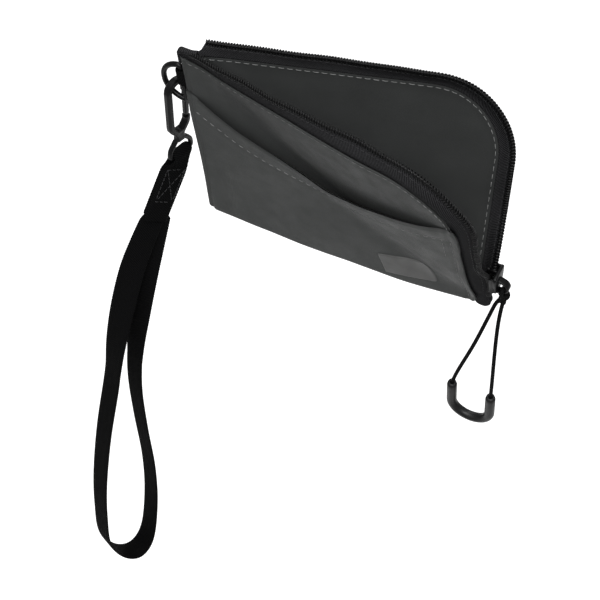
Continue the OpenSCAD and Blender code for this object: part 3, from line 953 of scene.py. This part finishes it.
# the folded tape end below the slider, a rounded lobe with a sewn crease
lobe = Parts()
LOBE_SIDES = 48
a = np.linspace(0, 2 * math.pi, LOBE_SIDES + 1)[:-1]
lobe_low = [(0.6, -1.55), (0.88, -1.45), (1.0, -0.9), (0.97, -0.15)]
for scale, y in lobe_low + [(k, -depth) for k, depth in lobe_low[::-1]]:
    rx = 3.3 * scale
    rz = 3.6 * scale
    px = W + 1.9 + rx * np.sign(np.cos(a)) * np.abs(np.cos(a)) ** 0.85
    pz = 3.0 + rz * np.sign(np.sin(a)) * np.abs(np.sin(a)) ** 0.85
    lobe.points.append(np.stack([px, y + 0 * a, pz], axis=1))
levels = len(lobe.points)
lobe.faces = grid_faces(levels, LOBE_SIDES, close_columns=True)
lobe.faces.append(tuple(range(LOBE_SIDES - 1, -1, -1)))
lobe.faces.append(tuple((levels - 1) * LOBE_SIDES + j for j in range(LOBE_SIDES)))
lobe_points = lobe.all_points()
cloth = np.stack([lobe_points[:, 0] * MM, lobe_points[:, 2] * MM, 0 * lobe_points[:, 1]], axis=-1)
lobe_obj = add_mesh("zip_end_fold", row(lobe_points), lobe.faces, MAT_TAPE, cloth=cloth)
rigid_piece(lobe_obj, "pouch", ["zip_end_lobe"])

# seams: the rolled seam allowance inside the bottom and left edges


def seam_fold(name, line, width, first, replaced):
    points, faces = sweep(line, rounded_box(width, 1.2, 0.4, 3), first=first)
    # the seam folds take the darkest copy of the cloth: painted shade inside the pouch
    seam = add_mesh(name, row(points), faces, MAT_INSIDE_PAINTED_SHADE, cloth=np.asarray(points) * MM)
    rigid_piece(seam, "pouch", [replaced])


bottom_line = np.array([[x, bow(x, 0.9), 1.1] for x in np.linspace(4.5, W - 1.5, 70)])
seam_fold("bottom_seam_fold", bottom_line, 1.3, [0, 1, 0], "bottom_seam")
side_line = np.array([[1.0, bow(1.0, z), z] for z in np.linspace(3.0, H - 2.0, 50)])
seam_fold("side_seam_fold", side_line, 1.2, [1, 0, 0], "side_seam")

# ---------------------------------------------------------------- slider
SLIDER_X, SLIDER_Z = W + TAPE, 11.5


def bevelled_plate(outline, thickness, chamfer, place, steps=3):
    """An outline in two axes made into a plate with rounded rims; place maps (a, b, depth) to a point."""
    outline = np.asarray(outline, float)
    n = len(outline)
    levels = []
    for k in range(steps + 1):
        a = math.pi / 2 * k / steps
        levels.append((chamfer * (1 - math.sin(a)), -thickness / 2 + chamfer * (1 - math.cos(a))))
    levels += [(inset, -depth) for inset, depth in reversed(levels)]
    rings = []
    for inset, depth in levels:
        before = outline - np.roll(outline, 1, axis=0)
        after = np.roll(outline, -1, axis=0) - outline
        normal = unit(np.stack([before[:, 1] + after[:, 1], -before[:, 0] - after[:, 0]], axis=1))
        ring_2d = outline - normal * inset
        rings.append(np.array([place(p[0], p[1], depth) for p in ring_2d]))
    points = np.concatenate(rings)
    faces = grid_faces(len(rings), n, close_columns=True)
    faces.append(tuple(range(n - 1, -1, -1)))
    faces.append(tuple((len(rings) - 1) * n + j for j in range(n)))
    return points, faces


def smooth_outline(points, steps=6):
    p = np.asarray(points, float)
    closed = np.concatenate([p[-2:], p, p[:3]])
    out = []
    for i in range(2, len(p) + 2):
        a, b, c, d = closed[i - 1], closed[i], closed[i + 1], closed[i + 2]
        for k in range(steps):
            out.append(spline_point(a, b, c, d, k / steps))
    return np.array(out)


slider = Parts()
shield = [(-4.1, 9.2), (-3.9, 6.0), (-3.2, 3.0), (-2.9, 0.6), (-1.2, 0.0), (1.2, 0.0), (2.9, 0.6), (3.2, 3.0),
          (3.9, 6.0), (4.1, 9.2), (2.6, 10.0), (0.0, 10.1), (-2.6, 10.0)]
shield = smooth_outline(shield)
slider.add(*bevelled_plate(shield, 1.3, 0.4, lambda u, v, w: [SLIDER_X + 1.95 + w, u, SLIDER_Z + v]))
keel = smooth_outline([(-0.7, 0.3), (0.7, 0.3), (0.8, 5.0), (0.7, 9.7), (-0.7, 9.7), (-0.8, 5.0)])
slider.add(*bevelled_plate(keel, 1.1, 0.25, lambda u, v, w: [SLIDER_X - 1.85 + w, u, SLIDER_Z + v]))
for y in (-3.55, 3.55):
    wall = np.array([[SLIDER_X + 0.75, y * k, SLIDER_Z + z] for k, z in
                     ((0.82, 0.8), (0.84, 3.0), (0.97, 6.2), (1.04, 9.2))])
    slider.add(*sweep(catmull(wall, 6), rounded_box(1.9, 0.75, 0.3, 3), first=[1, 0, 0]))
post = np.array([[SLIDER_X, 0, SLIDER_Z + z] for z in np.linspace(7.4, 9.8, 5)])
slider.add(*sweep(post, rounded_box(3.2, 0.8, 0.3, 3), first=[1, 0, 0], scales=[0.8, 0.95, 1, 0.95, 0.8]))
slider_obj = add_mesh("slider_body_cast", row(slider.all_points()), slider.faces, MAT_SLIDER)
rigid_piece(slider_obj, "slider", ["slider_body"])

bail_low = [(2.2, -3.2), (3.4, -2.9), (5.3, -1.9)]
bail_points = bail_low + [(6.1, 0.0)] + [(x, -z) for x, z in bail_low[::-1]]
bail_line = np.array([[SLIDER_X + x, 0, BAIL_Z + z] for x, z in bail_points])
points, faces = sweep(catmull(bail_line, 6), rounded_box(2.8, 0.95, 0.35, 3), first=[0, 1, 0])
bail = add_mesh("slider_bail_arch", row(points), faces, MAT_SLIDER)
rigid_piece(bail, "slider", ["slider_bail"])

# ---------------------------------------------------------------- D-ring and its tab
RING_X, RING_Z, RING_R, RING_BEND, RING_WIRE = -1.3, 66.5, 8.5, 8.0, 2.1
d_line = [[RING_X, 0, RING_Z + z] for z in np.linspace(-RING_R + 0.4, RING_R - 0.4, 20)]
d_line += [[RING_X - RING_BEND * math.sin(a), 0, RING_Z + RING_R - RING_BEND + RING_BEND * math.cos(a)]
           for a in np.linspace(0.1, math.pi / 2, 20)]
d_line += [[RING_X - RING_BEND * math.cos(a), 0, RING_Z - RING_R + RING_BEND - RING_BEND * math.sin(a)]
           for a in np.linspace(0, math.pi / 2 - 0.1, 20)]
points, faces = sweep(np.array(d_line), circle(RING_WIRE / 2, 24), closed=True, first=[0, 1, 0])
d_ring = add_mesh("d_ring_wire", row(points), faces, MAT_RING)
rigid_piece(d_ring, "ring", ["d_ring"])

TAB_LOW, TAB_HIGH = RING_Z, RING_Z + 7.0
tab_profile = [(0.9, -1.0), (-0.4, -1.45)]
tab_profile += [(RING_X - 1.62 * math.sin(a), -1.62 * math.cos(a)) for a in np.linspace(0, math.pi, 17)]
tab_profile += [(-0.4, 1.45), (0.9, 1.0)]
tab_profile = catmull(np.array([[p[0], p[1], 0] for p in tab_profile]), 2)
tab_dir = tangents(tab_profile)
tab_normal = np.stack([tab_dir[:, 1], -tab_dir[:, 0], 0 * tab_dir[:, 0]], axis=1)
heights = np.linspace(TAB_LOW, TAB_HIGH, 30)
ribs = 0.05 * np.sin(length_along(tab_profile) * 2 * math.pi / 1.1)
grid_out, grid_in = [], []
for z in heights:
    edge = round_over(np.array(min(z - TAB_LOW, TAB_HIGH - z)), 0.5) * 0.8 + 0.2
    base = tab_profile + np.array([0, 0, z])
    grid_out.append(base + tab_normal * (0.42 * edge + ribs)[:, None])
    grid_in.append(base - tab_normal * 0.42 * edge)
points, faces = solid_from_grids(np.array(grid_out), np.array(grid_in))
run = length_along(tab_profile)
cloth = np.array([[s * MM, z * MM, 0] for z in heights for s in run])
tab = add_mesh("ring_tab_webbing", row(points), faces, MAT_WEB,
               cloth=np.concatenate([cloth] * 2))
rigid_piece(tab, "pouch", ["ring_tab"])

# ---------------------------------------------------------------- snap hook
HOOK_PLACE = np.array([-5.8, 0.25, 0.0])
HOOK_PIN = np.array([-6.05, 0.0, 59.56])         # where the ring passes through the hook
HOOK_TURN, HOOK_TILT = math.radians(74), math.radians(7)
HOOK_TOP, GATE_LOW, GATE_HIGH, EYE_Z = 61.7, 44.0, 58.6, 25.5
HOOK_BAR = 3.95          # from the middle of the hook to the middle of each bar


def tilted(v):
    """A direction of the upright hook, leaned away from the pouch."""
    c, d = math.cos(HOOK_TILT), math.sin(HOOK_TILT)
    return np.array([v[0] * c + v[2] * d, v[1], -v[0] * d + v[2] * c])


HOOK_ACROSS = tilted([math.cos(HOOK_TURN), math.sin(HOOK_TURN), 0.0])
HOOK_NORMAL = tilted([-math.sin(HOOK_TURN), math.cos(HOOK_TURN), 0.0])
HOOK_ALONG = tilted([0.0, 0.0, 1.0])


def on_hook(u, z, w=0.0):
    start = HOOK_PIN + tilted(HOOK_PLACE - HOOK_PIN)
    return start + HOOK_ACROSS * u + HOOK_NORMAL * w + HOOK_ALONG * z


def facetted(width, height, cut):
    """A rectangular section with cut corners, as moulded hooks have."""
    w, h = width / 2, height / 2
    soft = cut * 0.28
    right_top = np.array([(w, h - cut), (w - soft, h - cut + soft * 1.2),
                          (w - cut + soft * 0.2, h - soft * 0.4), (w - cut, h)])
    left_top = right_top[::-1] * [-1, 1]
    return np.concatenate([right_top, left_top, -right_top, -left_top])


hook = Parts()
upper = [on_hook(HOOK_BAR, GATE_HIGH), on_hook(HOOK_BAR, GATE_HIGH + 1.4)]
upper += [on_hook(HOOK_BAR * math.cos(a), HOOK_TOP + HOOK_BAR * math.sin(a))
          for a in np.linspace(0, math.pi, 25)]
upper += [on_hook(-HOOK_BAR, z) for z in (57, 53, 49, 46, 43.5)]
upper += [on_hook(-HOOK_BAR + 0.25, 41.7), on_hook(-2.7, 40.0), on_hook(-1.2, 38.0), on_hook(-0.6, 36.6)]
upper = even(catmull(np.array(upper), 3), 0.5)
hook.add(*sweep(upper, facetted(2.7, 3.0, 0.75), first=HOOK_ACROSS))
stub = [on_hook(HOOK_BAR, GATE_LOW - 0.1), on_hook(HOOK_BAR, 43.0), on_hook(HOOK_BAR - 0.25, 41.7),
        on_hook(2.7, 40.0), on_hook(1.2, 38.0), on_hook(0.6, 36.6)]
stub = even(catmull(np.array(stub), 5), 0.5)
hook.add(*sweep(stub, facetted(2.7, 3.0, 0.75), first=HOOK_ACROSS))
waist = [on_hook(0, z) for z in np.linspace(39.2, 33.4, 14)]
waist_scale = [1.0, 1.02, 1.0, 0.96, 0.93, 0.92, 0.92, 0.92, 0.93, 0.95, 0.98, 1.0, 1.0, 0.92]
hook.add(*sweep(np.array(waist), facetted(4.6, 3.0, 0.8), first=HOOK_ACROSS, scales=waist_scale))
EYE_W = 5.25
eye_half = [(0, 34.2), (1.9, 33.6), (3.6, 31.6), (4.9, 29.6), (EYE_W, 27.8), (EYE_W, 26.4), (EYE_W - 0.6, 25.6),
            (EYE_W - 1.6, EYE_Z), (2.0, EYE_Z)]
eye = [on_hook(u, z) for u, z in eye_half + [(-u, z) for u, z in eye_half[:0:-1]]]
eye = catmull(np.array(eye + eye[:1]), 6)[:-1]
a_dir = np.cross(np.broadcast_to(HOOK_NORMAL, eye.shape), tangents(eye, True))
section = facetted(1.75, 2.1, 0.55)
rings = (eye[:, None] + a_dir[:, None] * section[None, :, :1]
         + np.broadcast_to(HOOK_NORMAL, eye.shape)[:, None] * section[None, :, 1:])
hook.add(rings.reshape(-1, 3), grid_faces(len(eye), len(section), close_rows=True, close_columns=True))
hook_obj = add_mesh("snap_hook_body", row(hook.all_points()), hook.faces, MAT_HOOK, smooth_shading=False)
rigid_piece(hook_obj, "hook", ["hook_body"])

gate = [on_hook(HOOK_BAR, z) for z in np.linspace(GATE_LOW + 0.25, GATE_HIGH - 0.25, 16)]
gate_scale = [0.7, 0.92] + [1.0] * 12 + [0.95, 0.8]
points, faces = sweep(np.array(gate), facetted(2.1, 2.2, 0.5), first=HOOK_ACROSS, scales=gate_scale)
gate_obj = add_mesh("snap_hook_gate", row(points), faces, MAT_HOOK, smooth_shading=False)
rigid_piece(gate_obj, "gate", ["hook_gate"])

# ---------------------------------------------------------------- wrist strap
STRAP_W, STRAP_T = 10.0, 1.15
TO_CORNER = np.array([W / 2, 0, 0])
STRAP_TOP = on_hook(0, EYE_Z) - TO_CORNER
STRAP_SPLIT = np.array([-72.3, -16.4, 2.6])
# STRAP_SPLIT and the points of LOOP were solved by a separate program from points picked on the photograph,
# through the fitted camera; they are not round numbers chosen by hand. The same holds for part.scad.
LOOP = np.array([
    [-73, -17.6, 1.9], [-75.9, -24, -7.7], [-78.9, -31, -19.3], [-81.9, -40, -37.1], [-84.9, -47, -55.9],
    [-87.7, -53, -76.6], [-91.6, -64, -105.9], [-95.3, -73, -137.1], [-97, -79, -162.1], [-98.6, -82, -186.8],
    [-96.5, -79, -205.9], [-92.9, -72, -214.6], [-89.1, -64, -206], [-86.4, -56, -179], [-84.8, -51, -149.1],
    [-84, -48, -115.2], [-83, -44.5, -85.4], [-81.3, -39, -62.6], [-78.9, -32.5, -42.9], [-76.5, -26.5, -26.3],
    [-74.1, -20.5, -11.7], [-71.7, -15.2, 1.4]])
WIDE_TOP = unit([0.55, 0.65, -0.5])
WIDE_LOW = unit([0.92, -0.38, 0])


def wide_at(z):
    k = np.clip((10 - z) / 80, 0, 1)[..., None]
    return unit((1 - k) * WIDE_TOP + k * WIDE_LOW)


sewn_t = unit(STRAP_SPLIT - STRAP_TOP)
sewn_length = float(np.linalg.norm(STRAP_SPLIT - STRAP_TOP))


def sewn_frame(s):
    """Centre, width direction and thickness direction at s millimetres below the eye bar."""
    s = np.asarray(s, float)
    k = smooth(s / 9.0)[..., None]
    wide = unit((1 - k) * HOOK_ACROSS + k * WIDE_TOP)
    down = unit(sewn_t - (wide @ sewn_t)[..., None] * wide)
    centre = STRAP_TOP + sewn_t * s[..., None]
    return centre, wide, np.cross(down, wide)


PLY = 1.2
wrap_r = 1.1 + 0.1 + STRAP_T / 2
path, widths, spans = [], [], []


def add_station(point, wide, span):
    path.append(point)
    widths.append(wide)
    spans.append(span)


def ply_height(s):
    return PLY + (wrap_r - PLY) * (1 - smooth(np.asarray(s, float) / 6.0))


HEM = sewn_length + 1.5
for s in np.arange(HEM, 0.1, -0.4):          # the hemmed end, up the left face
    c, w, m = sewn_frame(s)
    add_station(c + m * ply_height(s), w, 8.8 + 1.0 * smooth(s / 10.0))
c, w, m = sewn_frame(0.0)
up = unit(np.cross(w, m))
if up[2] < 0:
    up = -up
for a in np.linspace(0, math.pi, 15):
    add_station(c + wrap_r * (math.cos(a) * m + math.sin(a) * up), w, 8.8)
for s in np.arange(0.4, sewn_length, 0.4):   # down the right face
    c, w, m = sewn_frame(s)
    add_station(c - m * ply_height(s), w, 8.8 + 1.0 * smooth(s / 10.0))
loop_line = even(catmull(LOOP, 8), 0.4)[::-1]
loop_t = tangents(loop_line)
for p, t in zip(loop_line, loop_t):
    w = wide_at(p[2])
    add_station(p, unit(w - (w @ t) * t), STRAP_W + 0.9 * float(smooth((-p[2] - 20) / 60)))
for s in np.arange(sewn_length - 0.6, 5.0, -0.4):   # the other end, between the two plies
    c, w, m = sewn_frame(s)
    add_station(c, w, STRAP_W - 0.4)
path, widths, spans = np.array(path), np.array(widths), np.array(spans)


def relaxed(values, rounds):
    for _ in range(rounds):
        values = np.concatenate([values[:1], (values[:-2] + values[1:-1] * 2 + values[2:]) / 4, values[-1:]])
    return values


path = relaxed(path, 4)
widths = unit(relaxed(widths, 12))
spans = relaxed(spans[:, None], 8)[:, 0]
thick_dir = unit(np.cross(tangents(path), widths))
strap_s = length_along(path)
across = np.concatenate([[-1, -0.94], np.linspace(-0.84, 0.84, 15), [0.94, 1]])
rib_pitch = 1.25
scallop = 0.14 * (0.5 - 0.5 * np.cos(strap_s * 2 * math.pi / rib_pitch))


def strap_face(sign):
    u = across[None, :]
    half = spans[:, None] / 2
    edge = np.sign(u) * np.abs(u) ** 12 * scallop[:, None]
    crown = 0.55 * (1 - np.abs(u) ** 10) + 0.04
    stagger = 0.5 * math.pi * (np.floor((u + 1) * 4) % 2)
    rib = 0.065 * np.cos(2 * math.pi * strap_s[:, None] / rib_pitch + stagger)
    height = sign * (STRAP_T / 2 * crown * 1.75 + rib * (1 - np.abs(u) ** 6))
    return (path[:, None] + widths[:, None] * ((u * half + edge)[..., None])
            + thick_dir[:, None] * height[..., None])


top, bottom = strap_face(1.0), strap_face(-1.0)
points, faces = solid_from_grids(bottom + TO_CORNER, top + TO_CORNER)
down = np.repeat(strap_s[:, None], len(across), 1) * MM
wide = (across[None, :] * spans[:, None] / 2) * MM
cloth = np.stack([down, wide, 0 * down], axis=-1).reshape(-1, 3)
strap = add_mesh("wrist_strap_webbing", row(points), faces, MAT_WEB,
                 cloth=np.concatenate([cloth] * 2))
STRAP_NODES = ["strap_fold", "strap_sewn_end", "strap_loop_left", "strap_loop_bottom", "strap_loop_right"]
rigid_piece(strap, "strap", STRAP_NODES)

# sewing of the strap: a box of stitches with two crossing rows, through all plies
sewing = Parts()
reach = PLY + STRAP_T / 2 + 0.12


def strap_stitches(a, b):
    """A row from (across, down) a to b on both faces of the sewn part."""
    a, b = np.array(a, float), np.array(b, float)
    run = float(np.linalg.norm(b - a))
    for sign in (1, -1):
        def place(s, lift, sign=sign):
            q = a + (b - a) * (s / run)[:, None]
            c, w, m = sewn_frame(q[:, 1])
            return c + w * q[:, :1] + m * sign * (reach - 0.08 + lift)[:, None] + TO_CORNER
        stitch_row(sewing, place, 0.0, run, pitch=1.9, share=0.8, radius=0.2, sides=5, rise=0.16)


low_left, low_right, high_left, high_right = (-3.6, 21.5), (3.6, 21.5), (-3.6, 7), (3.6, 7)
for a, b in ((high_left, low_left), (high_right, low_right), (high_left, high_right), (low_left, low_right),
             (high_left, low_right), (high_right, low_left)):
    strap_stitches(a, b)
strap_sewing = add_mesh("wrist_strap_stitches", row(sewing.all_points()), sewing.faces, MAT_THREAD_BLACK)
rigid_piece(strap_sewing, "strap", [])

# ---------------------------------------------------------------- floor and light
floor_mat, tree, shader = material("floor_pale_painted_light_pool", (0.30, 0.30, 0.30), 0.9, specular=0.0)
# The floor glows, most strongly round a spot behind and left of the pouch: a painted pool of light.
light_pool_distance = node(tree, "ShaderNodeVectorMath", operation="DISTANCE")
light_pool_distance.inputs[1].default_value = (-0.22, 0.32, 0.0)
tree.links.new(position(tree), light_pool_distance.inputs[0])
painted_light_pool = map_range(tree, light_pool_distance.outputs["Value"], 0.42, 0.9, 1.05, 0.2)
tree.links.new(painted_light_pool, shader.inputs["Emission Strength"])
shader.inputs["Emission Color"].default_value = (1, 1, 1, 1)
bpy.ops.mesh.primitive_plane_add(size=12, location=(0, 0, -0.55))
floor = bpy.context.object
floor.name = "floor"
floor.data.materials.append(floor_mat)

world = bpy.data.worlds.new("studio")
bpy.context.scene.world = world
world.use_nodes = True
world.node_tree.nodes["Background"].inputs[0].default_value = (1, 1, 1, 1)
world.node_tree.nodes["Background"].inputs[1].default_value = 0.34


def area_light(name, place, aim, size, power):
    data = bpy.data.lights.new(name, "AREA")
    data.shape = "SQUARE"
    data.size = size
    data.energy = power
    obj = bpy.data.objects.new(name, data)
    obj.location = place
    obj.rotation_euler = (Vector(aim) - Vector(place)).to_track_quat("-Z", "Y").to_euler()
    bpy.context.collection.objects.link(obj)
    return obj


area_light("key", (0.5, -0.7, 1.1), (0, 0, 0), 0.6, 10.0)
area_light("fill", (-0.3, -1.1, 0.8), (0, 0, 0), 0.9, 2.0)
area_light("rim", (-0.2, 0.9, 0.8), (0, 0, 0), 0.6, 4.0)
area_light("overhead", (0.1, -0.2, 1.3), (0, 0, 0), 1.0, 14.0)
bpy.context.scene.view_settings.view_transform = "Standard"
bpy.context.scene.view_settings.look = "None"
